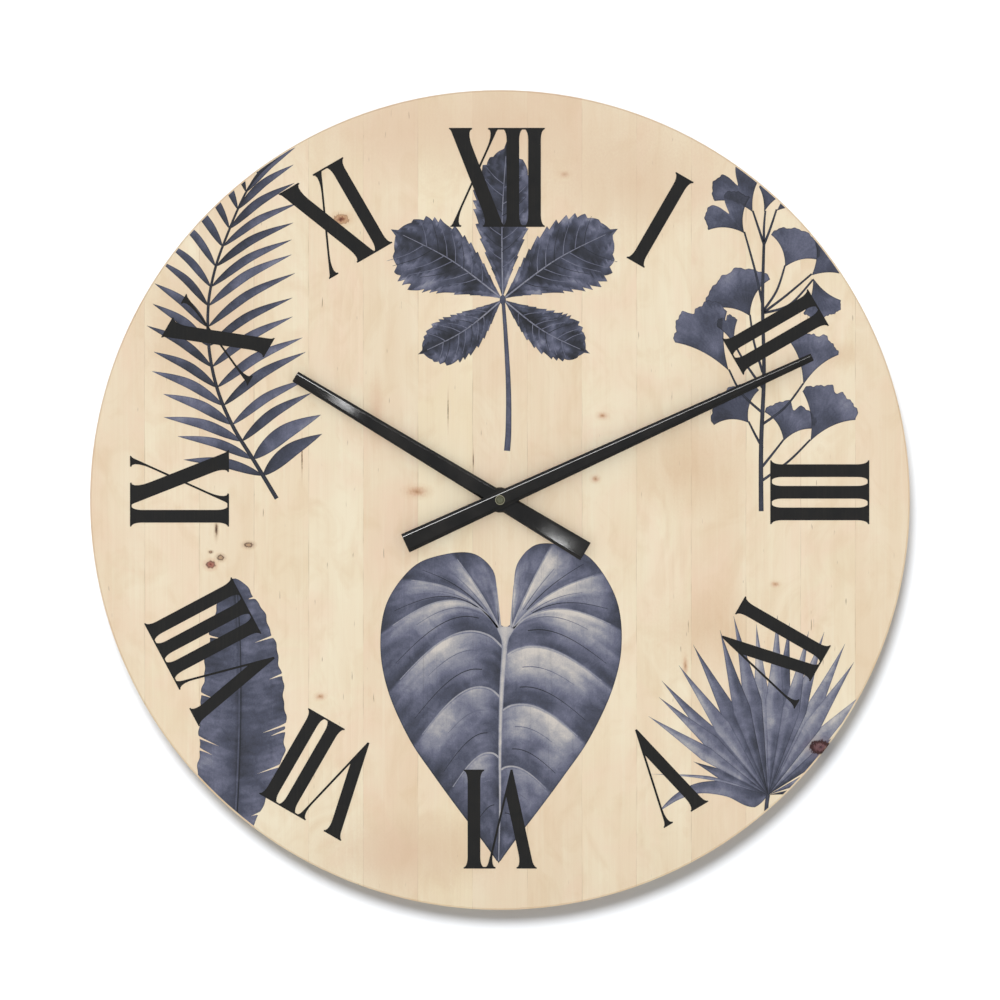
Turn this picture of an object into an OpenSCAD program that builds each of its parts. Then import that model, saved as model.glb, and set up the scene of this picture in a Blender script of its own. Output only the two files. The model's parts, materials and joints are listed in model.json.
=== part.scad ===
// Large round wooden wall clock: an edge-glued pine dial with raised-ink roman numerals,
// two bevelled bar hands, and a battery quartz movement let into the back.
// The dial faces -Y and the wall is the plane y = 0. The origin is on the hands' axis in that plane.
// Every "depth" below is the distance from the wall towards the dial's front.

/* [Board] */
// Diameter of the wooden dial
board_d = 584; // [560:1:610]
// Thickness of the wooden dial
board_t = 19; // [18:0.5:20]
// Gap between the dial's back and the wall
wall_gap = 3; // [3:0.5:3]
// Number of glued staves, an odd number so that one lies on the centre
stave_count = 15; // [13:2:15]
// Chamfer round the dial's front and back edges
edge_chamfer = 1.2; // [0.5:0.1:2]

/* [Numerals] */
// Radius of the numerals' outer ends
numeral_outer_r = 263.5; // [250:0.5:264]
// Height of the numerals
numeral_h = 70.5; // [64:0.5:71]
// Thickness of the printed ink
ink_t = 0.2; // [0.1:0.05:0.3]
// Width of a thick stem
stem_w = 9; // [8.5:0.1:9.2]
// Distance between the centres of two stems
stem_pitch = 15.4; // [15:0.1:15.5]

/* [Hands] */
// Reach of the minute hand from the axis to its tip
minute_reach = 244; // [220:1:260]
// Length of the minute hand's tail
minute_tail = 74; // [60:1:90]
// Reach of the hour hand from the axis to its tip
hour_reach = 170; // [150:1:185]
// Length of the hour hand's tail
hour_tail = 71; // [60:1:90]
// Thickness of both hands
hand_t = 2; // [1.6:0.1:2]
// Angle of the minute hand at rest, clockwise from twelve
minute_angle = 65.4; // [0:0.1:360]
// Angle of the hour hand at rest, clockwise from twelve
hour_angle = 301.1; // [0:0.1:360]

/* [Movement] */
// Width and height of the movement's case
case_w = 56; // [56:0.5:57]
// Thickness of the case's walls
case_wall = 1.2; // [1.1:0.1:1.2]
// Diameter of the cell
cell_d = 14.5; // [14:0.1:14.5]
// Length of the cell with its terminal
cell_l = 50.5; // [49.5:0.1:50.5]
// Running clearance on the radius of every pivot
run = 0.05; // [0.03:0.01:0.06]

/* [Hidden] */
$fn = 64;

// depths from the wall
board_back = wall_gap;
board_front = board_back + board_t;
pocket_floor = board_front - 5;
case_front_d = pocket_floor - 1;
case_inner_front = case_front_d - case_wall;
bush_tip = board_front + 4.2;
hour_seat = board_front + 5;
minute_seat = hour_seat + 3.2;
minute_shoulder = minute_seat - 0.4;
nut_seat = minute_seat + hand_t + 0.2;

// staves
board_r = board_d / 2;
stave_w = board_d / stave_count;
middle_stave = (stave_count - 1) / 2;
pocket_w = case_w + 4;

// shafts
minute_shaft_r = 1.75;
stud_r = 1.45;
hour_pipe_r = 2.5;
bush_r = 4;
centre_arbor_r = 1;
arbor_r = 0.4;

// tooth counts
rotor_teeth = 12;
slow_teeth = 60;
intermediate_pinion_teeth = 10;
seconds_pinion_teeth = 8;
centre_teeth = 64;
third_pinion_teeth = 8;
cannon_teeth = 12;
minute_teeth = 36;
minute_pinion_teeth = 10;
hour_teeth = 40;

// centre distance of every pair but the rotor's, and the modules that follow from it
arbor_gap = 9;
motion_module = 2 * arbor_gap / (cannon_teeth + minute_teeth);
hour_module = 2 * arbor_gap / (minute_pinion_teeth + hour_teeth);
centre_module = 2 * arbor_gap / (centre_teeth + third_pinion_teeth);
third_module = 2 * arbor_gap / (slow_teeth + seconds_pinion_teeth);
seconds_module = 2 * arbor_gap / (slow_teeth + intermediate_pinion_teeth);
rotor_module = 0.22;
rotor_gap = rotor_module * (rotor_teeth + slow_teeth) / 2;

// directions from one arbor to the next, counter-clockwise from +X
third_dir = 150;
intermediate_dir = 30;
minute_dir = 200;
knob_dir = 180;
rotor_dir = 60;

function polar(r, a) = [r * cos(a), r * sin(a)];
third_at = polar(arbor_gap, third_dir);
intermediate_at = polar(arbor_gap, intermediate_dir);
minute_at = polar(arbor_gap, minute_dir);
knob_at = minute_at + polar(arbor_gap, knob_dir);
rotor_at = intermediate_at + polar(rotor_gap, rotor_dir);

// Angle of a driven gear that puts its gap where the driver's tooth points.
function meshed(dir, driver_teeth, driver_angle, teeth) =
    dir + 180 - 180 / teeth + driver_teeth / teeth * (dir - driver_angle);
minute_phase = meshed(minute_dir, cannon_teeth, 0, minute_teeth);
knob_phase = meshed(knob_dir, minute_teeth, minute_phase, cannon_teeth);
hour_phase = meshed(minute_dir + 180, minute_pinion_teeth, 0, hour_teeth);
centre_phase = meshed(third_dir + 180, third_pinion_teeth, 0, centre_teeth);
seconds_pinion_phase = meshed(third_dir + 180, slow_teeth, 0, seconds_pinion_teeth);
intermediate_pinion_phase = meshed(intermediate_dir, slow_teeth, 0, intermediate_pinion_teeth);
rotor_phase = meshed(rotor_dir, slow_teeth, 0, rotor_teeth);

// depths of the gear levels, each as [near the wall, near the dial]
rotor_level = [4.3, 5.1];
seconds_level = [5.7, 6.7];
third_level = [7.1, 8.1];
centre_level = [8.7, 9.7];
plate_level = [10.3, 11.3];
motion_level = [11.7, 12.9];
hour_level = [13.3, 14.5];
boss_top = 2;
pivot_floor = 0.5;
pillars = [[-12.5, 19], [16.5, -7.5]];

// hands
hand_side = 0.6;
hand_bevel = 1.8;

// battery bay
cell_r = cell_d / 2;
case_in = case_w / 2 - case_wall;
bay_top = -case_in + cell_d + 0.8;
cell_z = (bay_top - case_in) / 2;
cell_depth = cell_r + 0.6;
contact_t = 0.5;
cell_right = case_in - contact_t - 0.1;
cell_left = cell_right - cell_l;

// coil and stator
coil_z = 20.5;
coil_depth = 4.8;
coil_x = [1.5, 18.5];
stator_x = [-4, 24];
stator_level = [3, 4];

// hanger
hanger_z = 236;
hanger_screw_x = 16;
bumper_x = 110;
bumper_z = -215;

function stave_name(i) = str("stave_", i < 9 ? "0" : "", i + 1);
STAVE_NAMES = [for (i = [0 : stave_count - 1]) stave_name(i)];

// A flat shape drawn as seen from the front, filling the depths from near to far.
module slab(near, far) {
    translate([0, -near, 0])
        rotate([90, 0, 0])
            linear_extrude(far - near)
                children();
}

// A turned part: its profile is drawn as [radius, depth].
module turned(at = [0, 0]) {
    translate([at[0], 0, at[1]])
        rotate([90, 0, 0])
            rotate_extrude()
                children();
}

module ring(near, far, outer_r, inner_r = 0, at = [0, 0]) {
    turned(at)
        translate([inner_r, near])
            square([outer_r - inner_r, far - near]);
}

module rounded_square(w, h, r) {
    square([w - 2 * r, h], center = true);
    square([w, h - 2 * r], center = true);
    for (x = [-1, 1], z = [-1, 1])
        translate([x * (w / 2 - r), z * (h / 2 - r)])
            circle(r);
}

// Straight-flanked tooth outline with room for backlash at every phase.
function tooth(i, teeth, m, angle) =
    let (a = angle + 360 * i / teeth, pitch_r = m * teeth / 2, half = 360 / teeth / 4)
    [
        polar(pitch_r - 1.15 * m, a - 1.05 * half),
        polar(pitch_r, a - 0.74 * half),
        polar(pitch_r + 0.8 * m, a - 0.34 * half),
        polar(pitch_r + 0.8 * m, a + 0.34 * half),
        polar(pitch_r, a + 0.74 * half),
        polar(pitch_r - 1.15 * m, a + 1.05 * half)
    ];

module gear(teeth, m, level, at = [0, 0], angle = 0, bore_r = 0) {
    translate([at[0], 0, at[1]])
        slab(level[0], level[1])
            difference() {
                polygon([for (i = [0 : teeth - 1]) each tooth(i, teeth, m, angle)]);
                circle(bore_r);
            }
}

// ---- board ----

module board_profile() {
    c = edge_chamfer;
    polygon([
        [0, board_back], [board_r - c, board_back], [board_r, board_back + c],
        [board_r, board_front - c], [board_r - c, board_front], [0, board_front]
    ]);
}

module movement_pocket() {
    slab(board_back - 1, pocket_floor)
        rounded_square(pocket_w, pocket_w, 4);
    ring(board_back, board_front + 1, bush_r + 0.2);
}

module hanger_pilot_holes() {
    for (x = [-1, 1])
        ring(board_back - 1, board_back + 9, 1.22, at = [x * hanger_screw_x, hanger_z]);
}

module stave(i) {
    left = -board_r + i * stave_w;
    color(i % 2 == 0 ? "burlywood" : "wheat")
        difference() {
            intersection() {
                turned() board_profile();
                slab(board_back - 1, board_front + 1)
                    translate([left, -board_r])
                        square([stave_w, board_d]);
            }
            if (abs(i - middle_stave) <= 1)
                movement_pocket();
            if (i == middle_stave)
                hanger_pilot_holes();
        }
}

// ---- numerals ----

serif_t = 0.9;
bracket_steps = 5;

// Concave bracket from a stroke's edge out to its serif, as [sideways, inwards] offsets.
function bracket(flare) = [
    for (k = [0 : bracket_steps])
        let (t = 90 * k / bracket_steps)
        [flare * (1 - sin(t)), serif_t + 2.6 * flare * (1 - cos(t))]
];

// A stroke from bottom_x to top_x, with flares = [bottom left, bottom right, top left, top right].
module stroke(bottom_x, top_x, w, flares) {
    lean = (top_x - bottom_x) / numeral_h;
    outline = concat(
        [[bottom_x - w / 2 - flares[0], 0], [bottom_x + w / 2 + flares[1], 0]],
        [for (b = bracket(flares[1])) [bottom_x + lean * b[1] + w / 2 + b[0], b[1]]],
        [for (j = [bracket_steps : -1 : 0])
            let (b = bracket(flares[3])[j])
            [top_x - lean * b[1] + w / 2 + b[0], numeral_h - b[1]]],
        [[top_x + w / 2 + flares[3], numeral_h], [top_x - w / 2 - flares[2], numeral_h]],
        [for (b = bracket(flares[2])) [top_x - lean * b[1] - w / 2 - b[0], numeral_h - b[1]]],
        [for (j = [bracket_steps : -1 : 0])
            let (b = bracket(flares[0])[j])
            [bottom_x + lean * b[1] - w / 2 - b[0], b[1]]]
    );
    polygon(outline);
}

hairline_w = 1.5;

module letter_i() {
    stroke(0, 0, stem_w, [2.8, 2.8, 2.8, 2.8]);
}

module letter_x() {
    stroke(14.6, -13.1, stem_w + 1.6, [4.1, 1, 0.8, 5]);
    stroke(-16.7, 15.2, hairline_w, [0.8, 5.4, 5.4, 0.8]);
}

module letter_v() {
    difference() {
        stroke(3.7, -11.6, stem_w - 0.3, [0, 0, 2, 3.6]);
        polygon([
            [0, -1], [hairline_w / 2, 0], [16.7 + hairline_w / 2, numeral_h], [40, numeral_h], [40, -1]
        ]);
    }
    stroke(0, 16.7, hairline_w, [0, 0, 4.4, 1.6]);
}

// Distance from one letter's centre line to the next one's.
function advance(a, b) =
    a == "I" && b == "I" ? stem_pitch
    : a == "I" && b == "V" ? 25.7
    : a == "V" ? 26.8
    : 26.5;

function letter_x_at(word, i) = i == 0 ? 0 : letter_x_at(word, i - 1) + advance(word[i - 1], word[i]);
function left_reach(c) = c == "I" ? 7.3 : 18.6;
function right_reach(c) = c == "I" ? 7.3 : 20;

plate_t = 1.2;
function plate_start(c) = c == "I" ? 0 : 14;

// Thin plates that join a letter's serifs to the next letter's. A V's foot has no serif.
module serif_plates(a, b) {
    start = plate_start(a);
    width = advance(a, b) - start - plate_start(b);
    for (z = a == "V" || b == "V" ? [numeral_h - plate_t] : [0, numeral_h - plate_t])
        translate([start, z])
            square([width, plate_t]);
}

module word(w) {
    last = len(w) - 1;
    shift = (left_reach(w[0]) - letter_x_at(w, last) - right_reach(w[last])) / 2;
    for (i = [0 : last])
        translate([shift + letter_x_at(w, i), 0]) {
            if (w[i] == "I")
                letter_i();
            if (w[i] == "V")
                letter_v();
            if (w[i] == "X")
                letter_x();
            if (i < last)
                serif_plates(w[i], w[i + 1]);
        }
}

// The print is set out by eye. Each row is a numeral and how far it lies off its hour:
// sideways in the clockwise direction, outwards, and turned clockwise in degrees.
HOURS = [
    ["XII", -2, 1.5, 0], ["I", -1, 1.5, 0], ["II", -5.5, 1.5, 0],
    ["III", -5.5, -0.5, 0], ["IV", -1.5, -7.5, 0], ["V", -2, -3, -1],
    ["VI", -0.5, -1, 0], ["VII", 10, 3.5, 0], ["VIII", 7.5, 1.5, 2],
    ["IX", 8, 0, 0], ["X", -0.5, 3.5, 0], ["XI", -1, 4, 0]
];

module numerals() {
    color("black")
        slab(board_front, board_front + ink_t)
            for (i = [0 : 11])
                rotate(-30 * i)
                    translate([HOURS[i][1], numeral_outer_r - numeral_h / 2 + HOURS[i][2]])
                        rotate(-HOURS[i][3])
                            translate([0, -numeral_h / 2])
                                word(HOURS[i][0]);
}

// ---- hanging hardware on the back ----

module sawtooth_hanger() {
    color("silver")
        difference() {
            union() {
                for (x = [-1, 1])
                    slab(2, board_back)
                        translate([x * hanger_screw_x, hanger_z])
                            square([8, 10], center = true);
                for (x = [-1, 1])
                    slab(0, board_back)
                        translate([x * 12.5, hanger_z])
                            square([1, 10], center = true);
                slab(0, 1)
                    translate([-13, hanger_z - 5])
                        square([26, 10]);
            }
            slab(-1, 1.5)
                for (i = [-6 : 6])
                    translate([i * 1.8, hanger_z - 3])
                        polygon([[-0.9, -4], [0.9, -4], [0.9, 0], [0, 1.5], [-0.9, 0]]);
            for (x = [-1, 1])
                ring(1, board_back + 1, 1.5, at = [x * hanger_screw_x, hanger_z]);
        }
}

module hanger_screws() {
    color("silver")
        for (x = [-1, 1])
            difference() {
                turned([x * hanger_screw_x, hanger_z])
                    polygon([
                        [0, 0.5], [1.6, 0.5], [2.6, 1.2], [2.6, 2], [1.2, 2],
                        [1.2, board_back + 7], [0, board_back + 8.6]
                    ]);
                translate([x * hanger_screw_x, -0.9, hanger_z])
                    for (turn = [0, 90])
                        rotate([0, turn, 0])
                            cube([3, 0.9, 0.6], center = true);
            }
}

module bumper(side) {
    color("dimgray")
        turned([side * bumper_x, bumper_z])
            polygon([[0, 0], [5.4, 0], [6, 0.6], [6, board_back], [0, board_back]]);
}

// ---- movement ----

module case_outline(inset, r) {
    rounded_square(case_w - 2 * inset, case_w - 2 * inset, r);
}

module case_front() {
    color("#202020")
        difference() {
            union() {
                difference() {
                    slab(case_wall, case_front_d)
                        case_outline(0, 3);
                    slab(0, case_inner_front)
                        case_outline(case_wall, 1.8);
                }
                slab(case_wall, case_inner_front + 0.1)
                    translate([-case_in - 0.1, bay_top])
                        square([2 * case_in + 0.2, 0.8]);
            }
            ring(case_inner_front - 1, case_front_d + 1, bush_r + 0.02);
            ring(case_front_d - 0.6, case_front_d + 1, 5.52);
            slab(case_inner_front - 1, case_inner_front + 0.6)
                translate([-case_in, -case_in])
                    square([2 * case_in, bay_top + case_in]);
            ring(case_inner_front - 1, case_inner_front + 0.7, arbor_r + run, at = minute_at);
        }
}

module case_back() {
    color("#262626")
        difference() {
            union() {
                slab(0, case_wall)
                    case_outline(0, 3);
                ring(0, 3.4, 5.9, at = knob_at);
                for (p = [third_at, [0, 0], intermediate_at, rotor_at])
                    ring(0, boss_top, 1.4, at = p);
            }
            slab(-1, case_wall + 1)
                translate([-case_in + 0.6, -case_in])
                    square([2 * case_in - 1.2, bay_top + case_in]);
            ring(-1, 2.6, 5, at = knob_at);
            ring(2, 4, 0.8 + run, at = knob_at);
            for (p = [third_at, [0, 0], intermediate_at, rotor_at])
                ring(pivot_floor, boss_top + 1, arbor_r + run, at = p);
        }
}

module threaded_bush() {
    pitch = 0.7;
    color("goldenrod")
        turned()
            polygon(concat(
                [
                    [hour_pipe_r + run, case_inner_front], [bush_r, case_inner_front],
                    [bush_r, case_front_d - 0.6], [5.5, case_front_d - 0.6], [5.5, case_front_d],
                    [bush_r, case_front_d]
                ],
                [for (i = [0 : 5])
                    each [[bush_r, board_front + i * pitch], [bush_r - 0.4, board_front + (i + 0.5) * pitch]]],
                [[bush_r - 0.1, bush_tip], [hour_pipe_r + run, bush_tip]]
            ));
}

module rubber_washer() {
    color("#303030")
        ring(case_front_d, pocket_floor, 9.5, bush_r + 0.1);
}

module dial_washer() {
    color("goldenrod")
        ring(board_front, board_front + 0.8, 8, bush_r + 0.15);
}

module fixing_nut() {
    nut_back = board_front + 0.8;
    color("goldenrod")
        difference() {
            slab(nut_back, nut_back + 2.6)
                circle(d = 13.4, $fn = 6);
            ring(nut_back - 1, nut_back + 4, bush_r + 0.03);
        }
}

module train_plate() {
    color("whitesmoke")
        difference() {
            union() {
                slab(plate_level[0], plate_level[1])
                    difference() {
                        translate([-15, -9.6])
                            square([33, 31]);
                        translate([-15, -9.6])
                            square([3.5, 12]);
                        circle(centre_arbor_r + run);
                        for (p = [third_at, intermediate_at, minute_at, rotor_at])
                            translate(p)
                                circle(arbor_r + run);
                    }
                for (p = pillars)
                    ring(case_wall, plate_level[0], 1.2, at = p);
            }
            for (p = pillars)
                ring(plate_level[1] - 0.6, plate_level[1] + 1, 0.7, at = p);
        }
}

module coil_bobbin() {
    color("ivory")
        translate([coil_x[0], -coil_depth, coil_z])
            rotate([0, 90, 0])
                difference() {
                    union() {
                        cylinder(h = coil_x[1] - coil_x[0], r = 1.9);
                        cylinder(h = 0.8, r = 3.5);
                        translate([0, 0, coil_x[1] - coil_x[0] - 0.8])
                            cylinder(h = 0.8, r = 3.5);
                    }
                    cube([2.2, 1.7, 60], center = true);
                }
}

module coil_winding() {
    color("#b4552d")
        translate([coil_x[0] + 0.8, -coil_depth, coil_z])
            rotate([0, 90, 0])
                difference() {
                    cylinder(h = coil_x[1] - coil_x[0] - 1.6, r = 3.3);
                    translate([0, 0, -1])
                        cylinder(h = 30, r = 1.9);
                }
}

module coil_core() {
    color("darkgray")
        slab(stator_level[1], stator_level[1] + 1.6)
            translate([stator_x[0], coil_z - 1])
                square([stator_x[1] - stator_x[0], 2]);
}

module stator() {
    color("gray")
        slab(stator_level[0], stator_level[1])
            difference() {
                union() {
                    translate([stator_x[0], rotor_at[1] - 4])
                        square([stator_x[1] - stator_x[0], 8]);
                    for (x = [stator_x[0], stator_x[1] - 5])
                        translate([x, rotor_at[1] - 4])
                            square([5, coil_z - rotor_at[1] + 6.5]);
                }
                translate(rotor_at)
                    circle(2.9);
                for (z = [-1, 1])
                    translate(rotor_at + [0, z * 4.2])
                        circle(0.9);
            }
}

module circuit_board() {
    color("darkgreen")
        slab(3, 4)
            difference() {
                translate([-case_in + 0.7, 13])
                    square([20, case_in - 13.6]);
                translate([-22, 15])
                    circle(0.8);
                translate(pillars[0])
                    circle(1.4);
            }
}

module chip_cover() {
    color("#151515")
        turned([-17.5, 20.5])
            polygon([[0, 4], [3.2, 4], [3, 4.5], [2.2, 5], [0, 5.2]]);
}

module quartz_crystal() {
    color("lightgray")
        translate([-13, -5.5, 16])
            rotate([0, 90, 0])
                cylinder(h = 6, r = 1.4);
}

module positive_contact() {
    color("silver")
        union() {
            slab(2, 13)
                translate([case_in - contact_t, -case_in + 2])
                    square([contact_t, cell_d - 3]);
            slab(2.6, 4.4)
                translate([case_in - contact_t, -case_in + 2])
                    square([contact_t, bay_top + case_in - 2.2]);
        }
}

module negative_contact() {
    color("silver")
        slab(3, 12)
            polygon([
                [-case_in, bay_top - 1], [-case_in, -case_in + 2], [-case_in + 0.45, -case_in + 2],
                [-case_in + 0.45, cell_z - 4], [cell_left - 0.1, cell_z], [-case_in + 0.45, cell_z + 4],
                [-case_in + 0.45, bay_top - 1]
            ]);
}

module cell_jacket() {
    color("#3c6e47")
        translate([cell_left, -cell_depth, cell_z])
            rotate([0, 90, 0])
                rotate_extrude()
                    polygon([
                        [0, 0.3], [4.6, 0.3], [4.6, 0], [cell_r - 0.5, 0], [cell_r, 0.5],
                        [cell_r, cell_l - 2], [cell_r - 0.5, cell_l - 1.5], [0, cell_l - 1.5]
                    ]);
}

module cell_terminal() {
    color("silver")
        translate([cell_right - 1.5, -cell_depth, cell_z])
            rotate([0, 90, 0])
                rotate_extrude()
                    polygon([[0, 0], [2.75, 0], [2.75, 1.2], [2.45, 1.5], [0, 1.5]]);
}

module setting_knob() {
    color("#e8e4d8")
        difference() {
            union() {
                ring(0.6, 2.2, 4.4, at = knob_at);
                ring(2.2, motion_level[1] + 0.3, 0.8, at = knob_at);
                gear(cannon_teeth, motion_module, motion_level, knob_at, knob_phase);
                ring(motion_level[1], case_inner_front - 0.3, arbor_r, at = knob_at);
            }
            for (turn = [0 : 60 : 120])
                translate([knob_at[0], -0.6, knob_at[1]])
                    rotate([0, turn, 0])
                        cube([7.4, 0.9, 0.7], center = true);
        }
}

module minute_wheel() {
    color("ivory") {
        gear(minute_teeth, motion_module, motion_level, minute_at, minute_phase);
        gear(minute_pinion_teeth, hour_module, [motion_level[1] - 0.1, hour_level[1]], minute_at);
        ring(plate_level[0] + 0.1, case_inner_front + 0.6, arbor_r, at = minute_at);
    }
}

module hour_wheel() {
    color("goldenrod")
        union() {
            gear(hour_teeth, hour_module, hour_level, angle = hour_phase, bore_r = minute_shaft_r + run);
            ring(hour_level[0], hour_seat + hand_t + 0.2, hour_pipe_r, minute_shaft_r + run);
        }
}

// ---- hands ----

// One cross-section of a bar, as corners [along, across, up].
function bar_section(x, w) = [
    [x, -w / 2, 0], [x, w / 2, 0], [x, w / 2, hand_side],
    [x, w / 2 - hand_bevel, hand_t], [x, hand_bevel - w / 2, hand_t], [x, -w / 2, hand_side]
];

// A straight bar, bevelled along both edges, from the tail at -x to the tip at +x.
module bevelled_bar(reach, tail, tip_w, axis_w, tail_w) {
    polyhedron(
        points = concat(bar_section(-tail, tail_w), bar_section(0, axis_w), bar_section(reach, tip_w)),
        faces = concat(
            [[0, 1, 2, 3, 4, 5], [17, 16, 15, 14, 13, 12]],
            [for (i = [0, 6], k = [0 : 5])
                [i + k, i + 6 + k, i + 6 + (k + 1) % 6, i + (k + 1) % 6]]
        )
    );
}

// Turns a bar drawn along +X, lying on its back, into a hand that points at a clock angle.
module point_at(angle, seat) {
    translate([0, -seat, 0])
        rotate([0, angle - 90, 0])
            rotate([90, 0, 0])
                children();
}

module hour_hand() {
    color("#2b2b2b")
        difference() {
            union() {
                point_at(hour_angle, hour_seat)
                    bevelled_bar(hour_reach, hour_tail, 8.1, 12.4, 14.4);
                turned()
                    polygon([
                        [0, hour_seat], [9, hour_seat], [9, hour_seat + 1], [8.4, hour_seat + hand_t],
                        [0, hour_seat + hand_t]
                    ]);
            }
            ring(hour_seat - 1, hour_seat + hand_t + 1, 3.62);
        }
}

module hour_hand_collet() {
    color("goldenrod")
        union() {
            ring(hour_seat - 0.5, hour_seat + hand_t, 3.6, hour_pipe_r + 0.02);
            ring(hour_seat - 0.5, hour_seat, 5, hour_pipe_r + 0.02);
        }
}

module minute_hand() {
    color("#2b2b2b")
        difference() {
            point_at(minute_angle, minute_seat)
                bevelled_bar(minute_reach, minute_tail, 5.5, 12.2, 14.3);
            ring(minute_seat - 1, minute_seat + hand_t + 1, 2.62);
        }
}

module minute_hand_collet() {
    color("goldenrod")
        union() {
            ring(minute_shoulder, nut_seat, 2.6, stud_r + 0.02);
            ring(minute_shoulder, minute_seat, 4, stud_r + 0.02);
        }
}

module hand_nut() {
    d = nut_seat;
    color("#8c8868")
        turned()
            polygon([
                [stud_r + 0.02, d], [3.4, d], [3.4, d + 0.7], [3.1, d + 1], [2.7, d + 1],
                [2.7, d + 2.6], [2.3, d + 3.2], [1.5, d + 3.6], [0, d + 3.7],
                [0, d + 2.8], [stud_r + 0.02, d + 2.8]
            ]);
}

module cannon_pinion() {
    color("silver")
        difference() {
            union() {
                gear(cannon_teeth, motion_module, motion_level);
                ring(motion_level[0], minute_shoulder, minute_shaft_r);
                ring(minute_shoulder - 1, nut_seat + 2.6, stud_r);
            }
            ring(motion_level[0] - 1, 18, centre_arbor_r + run);
        }
}

// ---- going train ----

module centre_wheel() {
    color("ivory")
        difference() {
            union() {
                gear(centre_teeth, centre_module, centre_level, angle = centre_phase);
                ring(centre_level[0] - 0.05, 17.5, centre_arbor_r);
            }
            ring(centre_level[0] - 1, centre_level[0] + 0.8, arbor_r + run);
        }
}

module third_wheel() {
    color("ivory") {
        gear(slow_teeth, third_module, third_level, third_at);
        gear(third_pinion_teeth, centre_module, [third_level[1] - 0.1, centre_level[1] + 0.2], third_at);
        ring(pivot_floor + 0.1, plate_level[1] - 0.1, arbor_r, at = third_at);
    }
}

module seconds_wheel() {
    color("ivory") {
        gear(slow_teeth, seconds_module, seconds_level);
        gear(seconds_pinion_teeth, third_module, [seconds_level[1] - 0.1, third_level[1] + 0.3],
            angle = seconds_pinion_phase);
        ring(pivot_floor + 0.1, centre_level[0] + 0.7, arbor_r);
    }
}

module intermediate_wheel() {
    color("ivory") {
        gear(slow_teeth, rotor_module, rotor_level, intermediate_at);
        gear(intermediate_pinion_teeth, seconds_module, [rotor_level[1] - 0.1, seconds_level[1] + 0.2],
            intermediate_at, intermediate_pinion_phase);
        ring(pivot_floor + 0.1, plate_level[1] - 0.1, arbor_r, at = intermediate_at);
    }
}

module rotor_pinion() {
    color("ivory") {
        gear(rotor_teeth, rotor_module, [rotor_level[0] - 0.1, rotor_level[1] + 0.2], rotor_at, rotor_phase);
        ring(pivot_floor + 0.1, plate_level[1] - 0.1, arbor_r, at = rotor_at);
    }
}

module rotor_magnet() {
    color("#404040")
        ring(2.3, 4.1, 2.3, arbor_r, at = rotor_at);
}

for (i = [0 : stave_count - 1])
    stave(i);
numerals();
sawtooth_hanger();
hanger_screws();
bumper(-1);  // bumper_left
bumper(1);  // bumper_right
case_front();
case_back();
threaded_bush();
rubber_washer();
dial_washer();
fixing_nut();
train_plate();
coil_bobbin();
coil_winding();
coil_core();
stator();
circuit_board();
chip_cover();
quartz_crystal();
positive_contact();
negative_contact();
cell_jacket();
cell_terminal();
setting_knob();
minute_wheel();
hour_wheel();
hour_hand();
hour_hand_collet();
cannon_pinion();
minute_hand();
minute_hand_collet();
hand_nut();
centre_wheel();
third_wheel();
seconds_wheel();
intermediate_wheel();
rotor_pinion();
rotor_magnet();
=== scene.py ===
"""Looks of the round wooden wall clock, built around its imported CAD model."""

import json
import math
import random

import bmesh
import bpy
from mathutils import Matrix, Vector, noise

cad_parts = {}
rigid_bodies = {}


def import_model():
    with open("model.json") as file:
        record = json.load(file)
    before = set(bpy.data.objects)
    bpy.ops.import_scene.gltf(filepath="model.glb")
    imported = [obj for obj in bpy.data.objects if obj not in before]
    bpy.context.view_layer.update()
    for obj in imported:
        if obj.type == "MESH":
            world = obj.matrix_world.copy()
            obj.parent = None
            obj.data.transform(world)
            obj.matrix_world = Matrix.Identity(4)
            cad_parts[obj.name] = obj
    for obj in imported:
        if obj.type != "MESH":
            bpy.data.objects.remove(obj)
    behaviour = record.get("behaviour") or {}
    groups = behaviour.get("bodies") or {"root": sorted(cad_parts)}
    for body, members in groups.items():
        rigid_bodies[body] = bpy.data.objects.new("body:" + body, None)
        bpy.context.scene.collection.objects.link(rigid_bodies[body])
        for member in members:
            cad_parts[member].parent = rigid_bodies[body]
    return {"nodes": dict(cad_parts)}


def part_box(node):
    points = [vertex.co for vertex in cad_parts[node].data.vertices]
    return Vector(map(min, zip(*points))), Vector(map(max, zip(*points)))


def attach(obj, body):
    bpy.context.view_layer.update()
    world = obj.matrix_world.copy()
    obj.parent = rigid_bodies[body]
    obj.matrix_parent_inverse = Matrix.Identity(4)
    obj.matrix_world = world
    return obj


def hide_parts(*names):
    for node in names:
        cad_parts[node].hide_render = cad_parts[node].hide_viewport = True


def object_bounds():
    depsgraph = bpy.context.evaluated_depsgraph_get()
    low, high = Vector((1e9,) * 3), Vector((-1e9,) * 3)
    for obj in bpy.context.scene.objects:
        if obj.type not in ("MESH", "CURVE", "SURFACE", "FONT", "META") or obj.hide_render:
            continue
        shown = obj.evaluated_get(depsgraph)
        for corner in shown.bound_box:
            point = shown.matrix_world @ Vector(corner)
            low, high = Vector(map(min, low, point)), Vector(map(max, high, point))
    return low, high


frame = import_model()
cad_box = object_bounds()

MM = 0.001
NODES = frame["nodes"]
STAVES = sorted(name for name in NODES if name.startswith("stave_"))
DIAL_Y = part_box("stave_08")[0].y
DIAL_R = (cad_box[1].x - cad_box[0].x) / 2 / MM


# ---------------------------------------------------------------- shader graphs


def rgb(code):
    """A colour such as "c8b090" as linear red, green, blue and alpha."""
    shares = [int(code[i : i + 2], 16) / 255 for i in (0, 2, 4)]
    return (*[c / 12.92 if c <= 0.04045 else ((c + 0.055) / 1.055) ** 2.4 for c in shares], 1)


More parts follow.
